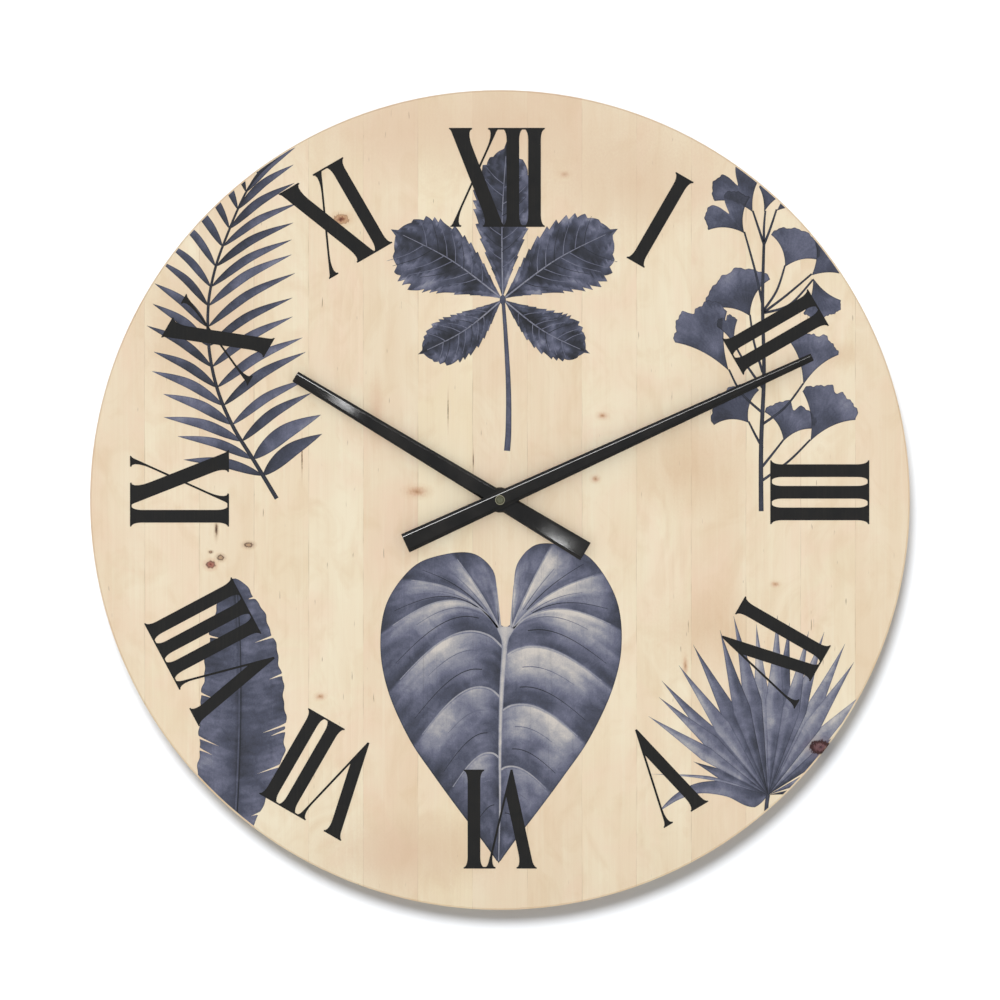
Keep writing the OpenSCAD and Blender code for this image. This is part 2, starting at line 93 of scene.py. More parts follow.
class Graph:
    """A material with its Principled shader, and short names for the nodes that feed it."""

    def __init__(self, name):
        self.material = bpy.data.materials.new(name)
        self.material.use_nodes = True
        self.tree = self.material.node_tree
        self.bsdf = self.tree.nodes["Principled BSDF"]
        self.place = self.node("TexCoord", out="Object")

    def feed(self, socket, value):
        if isinstance(value, bpy.types.NodeSocket):
            self.tree.links.new(value, socket)
        else:
            socket.default_value = value

    def node(self, kind, inputs=(), out=0, **settings):
        made = self.tree.nodes.new("ShaderNode" + kind)
        for key, value in settings.items():
            setattr(made, key, value)
        for key, value in dict(inputs).items():
            self.feed(made.inputs[key], value)
        return made.outputs[out]

    def set(self, **values):
        """Feeds the shader's sockets: Base_Color="..." is the socket Base Color."""
        for key, value in values.items():
            self.feed(self.bsdf.inputs[key.replace("_", " ")], value)

    def math(self, operation, a, b=0.0, c=0.0):
        return self.node("Math", {0: a, 1: b, 2: c}, operation=operation)

    def vector(self, operation, a, b=(0, 0, 0), out=0):
        return self.node("VectorMath", {0: a, 1: b}, out=out, operation=operation)

    def noise(self, stretch, detail=3.0, rough=0.55, at=None, out="Fac", warp=0.0):
        """Noise whose features are about 1 / stretch metres long on each axis."""
        where = self.vector("MULTIPLY", at or self.place, stretch)
        inputs = {"Vector": where, "Scale": 1.0, "Detail": detail, "Roughness": rough, "Distortion": warp}
        return self.node("TexNoise", inputs, out=out)

    def span(self, value, low, high, to_low=0.0, to_high=1.0):
        """The value taken from low..high to to_low..to_high, kept within them."""
        inputs = {0: value, 1: low, 2: high, 3: to_low, 4: to_high}
        return self.node("MapRange", inputs, clamp=True)

    def mix(self, a, b, share, blend="MIX"):
        inputs = {0: share, 6: a, 7: b}
        return self.node("Mix", inputs, out=2, data_type="RGBA", blend_type=blend)

    def ramp(self, value, stops):
        """Colour and alpha from (position, colour, alpha) stops."""
        made = self.tree.nodes.new("ShaderNodeValToRGB")
        self.feed(made.inputs[0], value)
        elements = made.color_ramp.elements
        while len(elements) < len(stops):
            elements.new(1.0)
        for element, (position, colour, alpha) in zip(elements, stops):
            element.position = position
            element.color = (*rgb(colour)[:3], alpha)
        return made.outputs[0], made.outputs[1]

    def bump(self, height, depth, strength=1.0):
        """Relief of the given depth in metres."""
        self.set(Normal=self.node("Bump", {"Height": height, "Distance": depth, "Strength": strength}))


def dress(name, material):
    """Gives a CAD node or a piece its material."""
    thing = NODES.get(name) or bpy.data.objects[name]
    thing.data.materials.clear()
    thing.data.materials.append(material)


# ---------------------------------------------------------------- pine

# how far past a stave's edges, in metres, a knot still counts as its own
KNOT_MARGIN = 0.02
# knots, cracks and stains in mm on the dial: x, z, half width, half height, kind
KNOTS = [
    (-113, 200, 5.5, 3.5, "oval"),
    (-206, -46, 3.6, 3.0, "red"),
    (-199, -41, 2.6, 2.2, "pin"),
    (-179, -32, 3.4, 2.0, "pin"),
    (-206, -37, 1.4, 1.0, "pin"),
    (-202, -21, 1.3, 5.5, "crack"),
    (228, -176, 7.5, 5.0, "ring"),
    (-59, 6, 7.0, 3.5, "faint"),
    (73, 60, 3.2, 2.0, "faint"),
    (68, 15, 2.6, 2.2, "faint"),
    (-88, 65, 4.0, 16.0, "blush"),
    (-30, 150, 1.2, 2.4, "crack"),
    (-37, 64, 0.4, 10, "crack"),
    (-19, 28, 0.4, 7, "crack"),
    (-141, 30, 0.5, 11, "crack"),
    (132, -118, 1.6, 6.0, "faint"),
    (-128, -140, 3.0, 2.0, "faint"),
    (196, -60, 2.6, 1.6, "faint"),
    (46, 232, 3.2, 2.0, "faint"),
    (-10, 268, 105, 26, "tan"),
    (95, 225, 40, 22, "tan"),
    (240, 104, 13, 6, "amber"),
    (135, 22, 26, 20, "amber"),
    (-215, 120, 26, 30, "tan"),
    (-60, -250, 40, 16, "tan"),
    (150, -90, 24, 18, "amber"),
]
# colour and cover of each kind from its middle outwards, as shares of twice its size
KNOT_RINGS = {
    "oval": [
        (0.0, "5d2f1c", 1.0), (0.16, "8e5232", 0.95), (0.34, "c08a5c", 0.75), (0.46, "9c6740", 0.8),
        (0.54, "d9b083", 0.35), (1.0, "e4c096", 0.0),
    ],
    "red": [
        (0.0, "6d1f1a", 1.0), (0.22, "a04a36", 0.85), (0.38, "5e2a20", 0.9), (0.52, "d29a72", 0.4),
        (1.0, "e4c096", 0.0),
    ],
    "pin": [
        (0.0, "b98a5e", 0.8), (0.24, "8a5f3c", 0.7), (0.38, "3c2414", 1.0), (0.5, "a87a50", 0.4),
        (1.0, "dcb88c", 0.0),
    ],
    "crack": [(0.0, "4a2f1c", 1.0), (0.24, "6d4a2c", 0.9), (0.46, "b08a5e", 0.35), (1.0, "dcb88c", 0.0)],
    "ring": [
        (0.0, "3c2024", 0.95), (0.18, "744543", 0.85), (0.34, "3f1f20", 1.0), (0.46, "351a1c", 1.0),
        (0.56, "6a5560", 0.3), (1.0, "6a5560", 0.0),
    ],
    "faint": [(0.0, "b07a50", 0.9), (0.3, "cf9a72", 0.6), (0.6, "dcb48c", 0.25), (1.0, "e4c096", 0.0)],
    "blush": [(0.0, "dba985", 0.45), (0.5, "e2b894", 0.28), (1.0, "e8cba4", 0.0)],
    "tan": [(0.0, "e3c3a4", 0.6), (0.5, "e5c8aa", 0.42), (1.0, "ead0b2", 0.0)],
    "amber": [(0.0, "dcb891", 0.5), (0.5, "e2c19c", 0.3), (1.0, "e8cba4", 0.0)],
}


def add_knots(graph, colour, chosen):
    """Lays the chosen knots over a colour."""
    for x, z, half_x, half_z, kind in chosen:
        offset = graph.vector("SUBTRACT", graph.place, (x * MM, 0, z * MM))
        size = graph.vector("MULTIPLY", offset, (1 / (half_x * MM), 0, 1 / (half_z * MM)))
        reach = graph.vector("LENGTH", size, out="Value")
        ragged = graph.noise((700, 0, 520), detail=3)
        ragged = graph.math("MULTIPLY", graph.math("SUBTRACT", ragged, 0.5), 0.9)
        reach = graph.math("ADD", reach, ragged)
        tint, share = graph.ramp(graph.math("MULTIPLY", reach, 0.5), KNOT_RINGS[kind])
        colour = graph.mix(colour, tint, share)
    return colour


def pine(index, left, right):
    """One stave's wood: growth rings round a pith that runs along Z, fibres, flecks and glued edges."""
    draw = random.Random(70 + index)
    graph = Graph(f"pine_{index + 1:02d}")
    shift = (draw.uniform(-3, 3), draw.uniform(-3, 3), draw.uniform(-3, 3))
    own = graph.vector("ADD", graph.place, shift)
    # the grain wanders slowly up the stave
    wander = graph.noise((9, 9, 2.2), detail=2, at=own, out="Color")
    wander = graph.vector("MULTIPLY", graph.vector("SUBTRACT", wander, (0.5, 0.5, 0.5)), (0.03, 0.03, 0))
    pith_x = (left + right) / 2 + draw.uniform(-0.02, 0.02)
    pith_y = draw.choice((-1, 1)) * draw.uniform(0.02, 0.06)
    ringed = graph.vector("ADD", graph.vector("SUBTRACT", graph.place, (pith_x, pith_y, 0)), wander)
    wave = {"Vector": ringed, "Scale": draw.uniform(85, 130), "Distortion": 1.2, "Detail": 2.0}
    rings = graph.node("TexWave", wave, wave_type="RINGS", rings_direction="Z", wave_profile="SAW")
    ring_clear = graph.span(graph.noise((22, 22, 5), detail=2, at=own), 0.42, 0.66)
    # broad tones
    light, warm, rosy = draw.choice(
        [("fbeed2", "f5e2c3", "f8dfc4"), ("fdf0d3", "f6e4c3", "f7e2c6"), ("f8e8cc", "f2dcbd", "f5dabe")]
    )
    broad = graph.span(graph.noise((26, 26, 6), detail=3, at=own), 0.36, 0.64)
    colour = graph.mix(rgb(light), rgb(warm), broad)
    blush = graph.span(graph.noise((15, 15, 12), detail=4, warp=1.2, at=own), 0.44, 0.7, 0, 0.85)
    colour = graph.mix(colour, rgb(rosy), blush)
    figure = graph.span(graph.noise((36, 36, 22), detail=4, warp=1.8, at=own), 0.48, 0.76, 0, 0.42)
    colour = graph.mix(colour, rgb("e6c9a2"), figure)
    # the growth rings and the fibres
    late = graph.math("MULTIPLY", graph.math("MULTIPLY", rings, ring_clear), 0.11)
    colour = graph.mix(colour, rgb("dcba90"), late)
    fibre = graph.noise((900, 900, 14), detail=3, at=own)
    colour = graph.mix(colour, rgb("d6b68c"), graph.span(fibre, 0.5, 0.82, 0, 0.11))
    pale = graph.span(graph.noise((300, 300, 12), detail=2, at=own), 0.56, 0.76, 0, 0.18)
    colour = graph.mix(colour, rgb("fff7e0"), pale)
    # short dark resin ducts
    duct = graph.noise((520, 520, 60), detail=2, rough=0.5, at=own)
    ducts = graph.span(duct, 0.735, 0.79, 0, 0.75)
    colour = graph.mix(colour, rgb("8d6c48"), ducts)
    # glued edges: a hair line that comes and goes
    side = graph.node("SeparateXYZ", {0: graph.place}, out="X")
    gap = graph.math(
        "MINIMUM",
        graph.math("ABSOLUTE", graph.math("SUBTRACT", side, left)),
        graph.math("ABSOLUTE", graph.math("SUBTRACT", side, right)),
    )
    line = graph.span(gap, 0.0, 0.00045, 1, 0)
    shown = graph.span(graph.noise((50, 0, 45), detail=3, at=own), 0.46, 0.66, 0.04, 0.6)
    line = graph.math("MULTIPLY", line, shown)
    colour = graph.mix(colour, rgb("a98a60"), line)
    near = [
        (x, z, half_x, half_z, kind)
        for x, z, half_x, half_z, kind in KNOTS
        if left - KNOT_MARGIN < (x + 2 * half_x) * MM and (x - 2 * half_x) * MM < right + KNOT_MARGIN
    ]
    colour = add_knots(graph, colour, near)
    # the cut edge and the back are a little darker than the sanded, lacquered face
    facing = graph.node("SeparateXYZ", {0: graph.node("NewGeometry", out="Normal")}, out="Y")
    raw = graph.span(facing, -0.95, -0.5)
    darker = graph.mix(colour, rgb("d8b98c"), 1.0, "MULTIPLY")
    colour = graph.mix(colour, darker, graph.math("MULTIPLY", raw, 0.35))
    rough = graph.span(fibre, 0.3, 0.7, 0.42, 0.58)
    rough = graph.math("ADD", rough, graph.math("MULTIPLY", raw, 0.15))
    graph.set(Base_Color=colour, Roughness=rough, IOR=1.45, Specular_IOR_Level=0.35)
    relief = graph.math("ADD", graph.math("MULTIPLY", fibre, 0.6), graph.math("MULTIPLY", ducts, -0.8))
    relief = graph.math("SUBTRACT", relief, graph.math("MULTIPLY", line, 0.8))
    graph.bump(relief, 0.00006, 0.6)
    return graph.material


for index, name in enumerate(STAVES):
    low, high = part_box(name)
    dress(name, pine(index, low.x, high.x))


# ---------------------------------------------------------------- printed leaves

# heights over the dial in mm: the lowest layer of ink, each next layer, the hidden back of the ink
INK_BASE = 0.07
INK_STEP = 0.012
INK_BACK = -0.02
# the print ends this far inside the rim
INK_MARGIN = 1.2


def leaf_ink(name, chosen=()):
    """Watercolour ink: its tone comes from the mesh, with granulation and a darker rim."""
    graph = Graph(name)
    tone = graph.node("Attribute", out="Fac", attribute_name="tone")
    edge = graph.node("Attribute", out="Fac", attribute_name="edge")
    wash = graph.noise((120, 120, 120), detail=4, warp=1.0)
    grains = graph.noise((900, 900, 900), detail=3, rough=0.7)
    tone = graph.math("ADD", tone, graph.span(wash, 0.3, 0.7, -0.12, 0.12))
    tone = graph.math("ADD", tone, graph.span(grains, 0.3, 0.7, -0.09, 0.09))
    rim = graph.span(edge, 0.15, 0.8, 0.3, 0)
    tone = graph.math("SUBTRACT", tone, rim)
    stops = [(0.0, "1f2128", 1), (0.2, "333643", 1), (0.38, "4b4f62", 1), (0.55, "6c6f85", 1),
             (0.7, "8e909f", 1), (0.84, "b2b0b4", 1), (1.0, "d8d1ca", 1)]
    colour, _ = graph.ramp(graph.math("MULTIPLY_ADD", tone, 0.5, 0.25), stops)
    fibre = graph.noise((800, 0, 12), detail=2)
    colour = graph.mix(colour, rgb("2c2e3a"), graph.span(fibre, 0.55, 0.8, 0, 0.22))
    colour = add_knots(graph, colour, chosen)
    graph.set(Base_Color=colour, Roughness=graph.span(grains, 0.3, 0.7, 0.48, 0.62))
    graph.set(IOR=1.45, Specular_IOR_Level=0.3)
    graph.bump(fibre, 0.00004, 0.5)
    return graph.material


def smooth(points, count):
    """count + 1 evenly spaced places on a smooth line through given points."""
    ends = [Vector(p) for p in (points[0], *points, points[-1])]
    fine = []
    for span_at in range(len(points) - 1):
        p0, p1, p2, p3 = ends[span_at : span_at + 4]
        for step in range(40):
            f = step / 40
            slope = (p2 - p0) * f
            bend = (p0 * 2 - p1 * 5 + p2 * 4 - p3) * f**2
            twist = (p1 * 3 - p0 - p2 * 3 + p3) * f**3
            fine.append((p1 * 2 + slope + bend + twist) / 2)
    fine.append(ends[-1])
    reach = [0.0]
    for a, b in zip(fine, fine[1:]):
        reach.append(reach[-1] + (b - a).length)
    places, at = [], 0
    for step in range(count + 1):
        want = reach[-1] * step / count
        while at < len(fine) - 2 and reach[at + 1] < want:
            at += 1
        share = (want - reach[at]) / max(reach[at + 1] - reach[at], 1e-9)
        places.append(fine[at].lerp(fine[at + 1], share))
    return places


def blot(place, size, seed=0.0):
    """Smooth noise from -1 to 1 with blots of about size mm."""
    return noise.noise(Vector((place[0] / size, place[1] / size, seed)))


def polar(start, angle, length):
    """The place that lies length from the start at an angle in degrees."""
    return Vector(start) + Vector((math.cos(math.radians(angle)), math.sin(math.radians(angle)))) * length


class Print:
    """A printed motif: flat ink in mm on the dial, cut to the disc, a hair thick."""

    def __init__(self, name):
        self.name = name
        self.sheets = []

    def sheet(self, rows, level):
        """Rows of equally many corners (place, tone, distance from the edge)."""
        self.sheets.append((rows, level))

    def blade(self, spine, half_width, tone, level, columns=5, count=40, lean=0.0):
        """A leaf blade along a spine. half_width(t, side) in mm, tone(t, v, place)."""
        line = smooth(spine, count)
        rows = []
        for i, place in enumerate(line):
            t = i / count
            ahead = (line[min(i + 1, count)] - line[max(i - 1, 0)]).normalized()
            across = Vector((-ahead.y, ahead.x))
            row = []
            for j in range(-columns, columns + 1):
                side = 1 if j > 0 else -1
                v = side * (1 - (1 - abs(j) / columns) ** 1.4)
                half = max(half_width(t, side), 0.06)
                corner = place + across * (v * half) + ahead * (lean * (1 - t**4) * abs(v) * half)
                row.append((corner, tone(t, v, corner), (1 - abs(v)) * half))
            rows.append(row)
        self.sheet(rows, level)

    def stroke(self, points, start_width, end_width, tone, level, count=24):
        """A vein or stem that tapers from one width to the other."""
        self.blade(
            points,
            lambda t, side: (start_width + (end_width - start_width) * t) / 2,
            lambda t, v, place: tone + 0.08 * blot(place, 9, 3),
            level,
            columns=1,
            count=count,
        )

    def finish(self, material):
        """Cuts the sheets to the disc, gives them their thickness and makes the piece."""
        limit = DIAL_R - INK_MARGIN
        bm = bmesh.new()
        layers = [bm.verts.layers.float.new(key) for key in ("tone", "edge")]
        for rows, level in self.sheets:
            corners = [corner for row in rows for corner in row]
            width = len(rows[0])
            cut = {}

            def crossing(a, b):
                """The corner where the edge from a to b meets the print's outer circle."""
                key = (min(a, b), max(a, b))
                if key not in cut:
                    p, q = corners[key[0]][0], corners[key[1]][0]
                    d = q - p
                    k2, k1, k0 = d.dot(d), 2 * p.dot(d), p.dot(p) - limit**2
                    root = math.sqrt(max(k1 * k1 - 4 * k2 * k0, 0))
                    shares = ((-k1 - root) / (2 * k2), (-k1 + root) / (2 * k2), 0.5)
                    f = next(s for s in shares if 0 <= s <= 1)
                    one, two = corners[key[0]], corners[key[1]]
                    tone, edge = (one[n] + (two[n] - one[n]) * f for n in (1, 2))
                    corners.append((p.lerp(q, f), tone, edge))
                    cut[key] = len(corners) - 1
                return cut[key]

            faces = []
            for i in range(len(rows) - 1):
                for j in range(width - 1):
                    a = i * width + j
                    loop = (a, a + 1, a + 1 + width, a + width)
                    kept = []
                    for k in range(4):
                        one, two = loop[k], loop[(k + 1) % 4]
                        one_in = corners[one][0].length <= limit
                        if one_in:
                            kept.append(one)
                        if one_in != (corners[two][0].length <= limit):
                            kept.append(crossing(one, two))
                    if len(kept) > 2:
                        faces.append(kept)
            front, back, sides = {}, {}, {}
            for face in faces:
                for corner in face:
                    if corner not in front:
                        place, tone, edge = corners[corner]
                        for store, height in ((front, INK_BASE + INK_STEP * level), (back, INK_BACK)):
                            vert = bm.verts.new((place[0] * MM, DIAL_Y - height * MM, place[1] * MM))
                            vert[layers[0]] = tone
                            vert[layers[1]] = edge
                            store[corner] = vert
                for a, b in zip(face, face[1:] + face[:1]):
                    if (b, a) in sides:
                        del sides[(b, a)]
                    else:
                        sides[(a, b)] = True
            for face in faces:
                bm.faces.new([front[c] for c in face])
                bm.faces.new([back[c] for c in reversed(face)])
            for a, b in sides:
                bm.faces.new([front[b], front[a], back[a], back[b]])
        bmesh.ops.recalc_face_normals(bm, faces=bm.faces)
        mesh = bpy.data.meshes.new(self.name)
        bm.to_mesh(mesh)
        bm.free()
        piece = bpy.data.objects.new(self.name, mesh)
        bpy.context.scene.collection.objects.link(piece)
        mesh.materials.append(material)
        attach(piece, "root")


def make_frond():
    """Palm frond at the upper left, with narrow leaflets on both sides of a thin rib."""
    ink = Print("frond_print")
    rib = [
        (-159, 1), (-174, 26), (-190, 52), (-201, 78), (-207, 106), (-208, 134), (-205, 156), (-197, 182),
        (-178, 224), (-155, 247),
    ]
    steps = 200
    leaflets = 17
    line = smooth(rib, steps)
    draw = random.Random(4)
    for side in (1, -1):
        for k in range(leaflets):
            share = 0.07 + 0.9 * k / leaflets
            start = line[int(share * steps)]
            if side > 0:
                angle = 38 - 8 * math.sin(math.pi * share) + max(share - 0.7, 0) * 50
                length = 45 + 26 * math.sin(math.pi * min(share * 1.15, 1)) ** 0.8
            else:
                angle = 180 - (8 + 62 * share)
                length = 58 - 14 * share
            angle += draw.uniform(-2, 2)
            length *= draw.uniform(0.95, 1.05)
            widest = (7.6 - 2.6 * share + (3.5 if k < 2 and side > 0 else 0)) / 2 * draw.uniform(0.92, 1.08)
            middle = polar(start, angle + 7 * side, length * 0.5)
            tip = polar(start, angle, length)
            depth = draw.uniform(-0.25, 0.2)

            def half(t, _, widest=widest):
                return widest * math.sin(math.pi * t**0.8) ** 0.9 if 0 < t < 1 else 0

            def tone(t, v, place, depth=depth):
                return depth + 0.62 * t - 0.12 * v + 0.25 * blot(place, 12, 1)

            ink.blade([start, middle, tip], half, tone, 1 + k % 3, columns=3, count=28)
    ink.stroke(rib, 3.0, 1.2, -0.2, 5, count=80)
    ink.finish(leaf_ink("frond_ink"))


def make_palmate():
    """Five toothed leaflets round a hub at the top, on a long stalk."""
    ink = Print("palmate_print")
    hub = (2, 143)
    # direction, length, half widths on the left and the right of that direction, seed
    # and how far the middle of its rib is turned aside
    leaflets = [
        (148, 94, 31, 21, 11, -5), (88.5, 113, 20, 21, 12, 2), (31.5, 96, 23, 30, 13, 5),
        (213, 72, 17, 15, 14, 6), (-32, 73, 18, 14, 15, -6),
    ]
    for k, (angle, length, left, right, seed, bend) in enumerate(leaflets):
        spine = [hub, polar(hub, angle + bend, length * 0.5), polar(hub, angle, length)]

        def half(t, side, left=left, right=right, seed=seed):
            """Toothed, with a blunt end that carries one pointed tooth."""
            along = min(t / 0.95, 1)
            body = along**1.3 * (1 - along) ** 0.72 / 0.265
            tooth = (t * 13 + 0.35 * side + blot((t * 7, side * 5), 1, seed) * 0.7) % 1
            widest = left if side > 0 else right
            return widest * max(body * (1 + (0.07 + 0.15 * t) * (tooth - 0.5)), 1.6 * (1 - t) * (t > 0.8))

        def tone(t, v, place, seed=seed):
            ribbed = ((t - 0.3 * abs(v)) * 7) % 1
            return (
                0.2
                + 0.42 * (ribbed - 0.5) * min(abs(v) * 2, 1)
                - 0.2 * math.exp(-((v / 0.22) ** 2))
                + 0.42 * (abs(v) - 0.5)
                + 0.75 * blot(place, 15, seed)
                + 0.4 * blot(place, 5, seed)
            )

        ink.blade(spine, half, tone, 1 + k, columns=9, count=150, lean=0.2)
        steps = 40
        rib = smooth(spine, steps)
        ink.stroke(rib[: steps - 1 : 4], 1.2, 0.4, 1.05, 6)
        for j in range(1, 8):
            for side in (-1, 1):
                t = 0.14 + 0.08 * j + (0.03 if side > 0 else 0)
                at = rib[int(t * steps)]
                ahead = (rib[int(t * steps) + 1] - at).normalized()
                across = Vector((-ahead.y, ahead.x)) * side
                reach = half(min(t + 0.05, 0.9), side) * 0.8
                middle = at + across * reach * 0.5 + ahead * reach * 0.34
                end = at + across * reach + ahead * reach * 0.85
                ink.stroke([at, middle, end], 0.6, 0.25, 0.9 if (j + k) % 3 else -0.1, 6, count=10)
    ink.stroke([(2, 145), (4, 118), (6, 80), (6, 50), (5, 35)], 2.4, 4.4, 0.34, 7, count=50)

    def boss(t, side):
        return 2.2 * math.sin(math.pi * min(max(t, 0.02), 0.98)) ** 0.5

    ink.blade([(2, 146), (2, 139)], boss, lambda t, v, place: 0.3, 8, columns=2, count=10)
    ink.finish(leaf_ink("palmate_ink"))


def make_sprig():
    """A tall stem at the upper right with fan-shaped leaves on thin stalks."""
    ink = Print("sprig_print")
    # base x, z, direction, radius, half spread, depth of the middle notch
    fans = [
        (180, 205, 119, 35, 40, 0.35), (174, 190, 128, 31, 42, 0.42), (203, 166, 62, 29, 46, 0.04),
        (222, 160, 42, 34, 42, 0.1), (178, 131, 117, 35, 50, 0.05), (163, 92, 122, 52, 27, 0.06),
        (167, 110, 108, 22, 22, 0.12), (223, 158, -72, 30, 30, 0.06), (216, 82, 74, 38, 30, 0.08),
        (177, 55, 128, 29, 50, 0.06), (202, 42, 72, 29, 46, 0.22), (221, 42, 62, 42, 33, 0.1),
        (188, 205, 72, 22, 26, 0.0), (197, 206, 40, 24, 32, 0.0),
    ]

    def rim_of(fan, a):
        """How far the fan reaches at a, which runs from -1 to 1 across its spread."""
        x, z, _, radius, _, notch = fan
        rim = radius * (1 - notch * math.exp(-((a / 0.12) ** 2)) - 0.16 * abs(a) ** 3)
        wave = 0.03 * math.sin(a * 7 + x) + 0.014 * math.sin(a * 19 + z) + 0.007 * math.sin(a * 43 + x)
        return rim * (1 + wave)

    def narrowing(v):
        """The sides of a fan draw in towards its base."""
        return 0.6 + 0.52 * v**1.3

    def covers(fan, place):
        """Whether the place lies on the fan."""
        x, z, angle, radius, spread, _ = fan
        offset = place - Vector((x, z))
        off_axis = (math.degrees(math.atan2(offset.y, offset.x)) - angle + 180) % 360 - 180
        a = off_axis / (spread * narrowing(min(offset.length / radius, 1)))
        return abs(a) < 1 and offset.length < rim_of(fan, a)

    steps_across = 80
    steps_out = 22
    for k, (x, z, angle, _, spread, _) in enumerate(fans):
        rows = []
        for i in range(steps_across + 1):
            a = -1 + 2 * i / steps_across
            rim = rim_of(fans[k], a)
            row = []
            for j in range(steps_out + 1):
                v = (j / steps_out) ** 0.8
                place = polar((x, z), angle + a * spread * narrowing(v), 0.4 + (rim - 0.4) * v)
                side = (1 - abs(a)) * math.radians(spread) * rim * v
                tone = 0.02 + 0.42 * v * (1 - 0.5 * abs(a)) + 0.42 * blot(place, 17, k)
                tone += 0.025 * math.sin(a * 34)
                # darker where it overlaps a fan before it
                if any(covers(other, place) for other in fans[:k]):
                    tone -= 0.3
                row.append((place, tone + 0.07 * (k % 3), min(rim * (1 - v), side)))
            rows.append(row)
        ink.sheet(rows, 1 + k % 4)
    stalks = [
        [(188, 182), (184, 194), (180, 206)], [(188, 182), (188, 194), (189, 206)],
        [(188, 182), (192, 192), (197, 207)], [(188, 134), (182, 162), (174, 191)],
        [(187, 134), (197, 149), (203, 167)], [(187, 133), (203, 145), (222, 161)],
        [(187, 133), (206, 139), (223, 157)], [(187, 91), (181, 112), (178, 132)],
        [(187, 62), (172, 76), (163, 93)], [(187, 80), (175, 97), (167, 111)],
        [(187, 54), (203, 66), (216, 83)], [(187, 37), (182, 46), (177, 56)],
        [(187, 24), (195, 34), (202, 43)], [(187, 14), (206, 28), (221, 43)],
    ]
    for points in stalks:
        ink.stroke(points, 1.9, 1.3, 0.0, 6)
    ink.stroke([(188, 184), (187, 140), (188, 90), (186, 40), (186, -8)], 2.0, 3.4, -0.1, 7, count=60)
    ink.finish(leaf_ink("sprig_ink"))


def make_heart():
    """A large heart-shaped leaf below the middle, with a pale rib and curved veins."""
    ink = Print("heart_print")
    hub = Vector((4, -90))
    # half the outline from the notch round the lobe to the tip, seen from the hub
    half_outline = [
        (1.5, 0), (3.8, 1.4), (5.2, 6), (5.8, 26), (9, 41), (22, 52), (42, 51), (62, 42), (79, 17), (83, -14),
        (77, -46), (62, -80), (45, -106), (28, -130), (11, -153), (0, -169),
    ]
    # rows from the notch to the tip, rows from one strong vein to the next, and the first vein's start
    count = 140
    vein_step = 17
    vein_shift = 3.5
    rib_steps = 100
    rib = smooth([(4, -93), (1, -130), (0, -170), (0, -210), (-1, -259)], rib_steps)
    for side in (-1, 1):
        lift = 1.12 if side > 0 else 1.0
        breadth = 1.0 if side > 0 else 1.07
        lean = [min(z, 0) * 5 / 169 for x, z in half_outline]
        rounded = [
            (hub.x + off + side * x * breadth, hub.y + z * (lift if z > 0 else 1))
            for (x, z), off in zip(half_outline, lean)
        ]
        edge_line = smooth(rounded, count)
        root = Vector((hub.x + side * 3.5, hub.y - 4))

        def line_at(u, v, side=side, edge_line=edge_line, root=root):
            """A place on one half: u runs from the notch to the tip, v from the rib to the edge."""
            at = min(int(u * count), count - 1)
            outer = edge_line[at].lerp(edge_line[at + 1], u * count % 1)
            down = max((u - 0.5) / 0.5, 0) ** (1.15 if side > 0 else 1.35)
            inner = root.lerp(rib[min(int(down * rib_steps), rib_steps)], min(down / 0.08, 1))
            place = inner.lerp(outer, v)
            bow = (outer - inner).length * (0.2 if side > 0 else 0.27) * math.sin(math.pi * v**0.8)
            return place + Vector((0, bow * min(u / 0.45, 1) ** 2))

        columns = 36
        rows = []
        for i in range(count + 1):
            u = i / count
            row = []
            for j in range(columns + 1):
                v = 1 - (1 - j / columns) ** 1.3
                place = line_at(u, v)
                # light below each vein, dark above the next, with streaks that follow them
                band = ((i + vein_shift) / vein_step) % 1
                glow = (1.25 if side > 0 else 1.0) * min((1 - u) / 0.3, 1)
                tone = (0.35 if side > 0 else 0.32) - 0.6 * max(u - 0.7, 0)
                tone += glow * (1 - band) ** 1.3 * math.sin(math.pi * (0.1 + 0.8 * v)) ** 0.8
                tone += 0.4 * blot(place, 26, side) + 0.26 * blot((v * 3, i / 3), 1, side)
                tone += 0.12 * blot((v * 7, i * 1.1), 1, side)
                tone -= 0.3 * math.exp(-((v / 0.16) ** 2)) * (1 if side < 0 else 0.3)
                tone -= 0.25 * max(v - 0.8, 0) / 0.2
                reach = (edge_line[i] - line_at(u, 0)).length
                row.append((place, tone, (1 - v) * reach))
            rows.append(row)
        ink.sheet(rows, 2 if side > 0 else 1)
        for k in range(1, 8):
            start = vein_step * k - vein_shift
            points = [line_at(start / count, v / 10) for v in range(10)]
            ink.stroke(points, 1.5, 0.5, 1.25, 3, count=40)
            # two fainter veins between the strong ones
            for more, end, shade in ((6, 6, 0.8), (12, 8, -0.1)):
                u = (start + more) / count
                if 0.2 < u < 0.95:
                    points = [line_at(u, (2 + v) / 10) for v in range(end)]
                    ink.stroke(points, 0.7, 0.3, shade, 3, count=30)

    def rib_half(t, side):
        """Wide at the notch, then a slow taper."""
        return (4.2 * math.exp(-((t / 0.04) ** 2)) + 2.2 - 1.9 * t) * min(0.6 + (t / 0.025) ** 0.5, 1)

    def rib_tone(t, v, place):
        return 1.35 + 0.12 * blot(place, 7, 2) - 0.25 * abs(v)

    rib_line = [(4, -90.2), (3, -110), (1, -140), (0, -180), (0, -215), (-1, -257)]
    ink.blade(rib_line, rib_half, rib_tone, 4, columns=2, count=120)
    ink.finish(leaf_ink("heart_ink"))


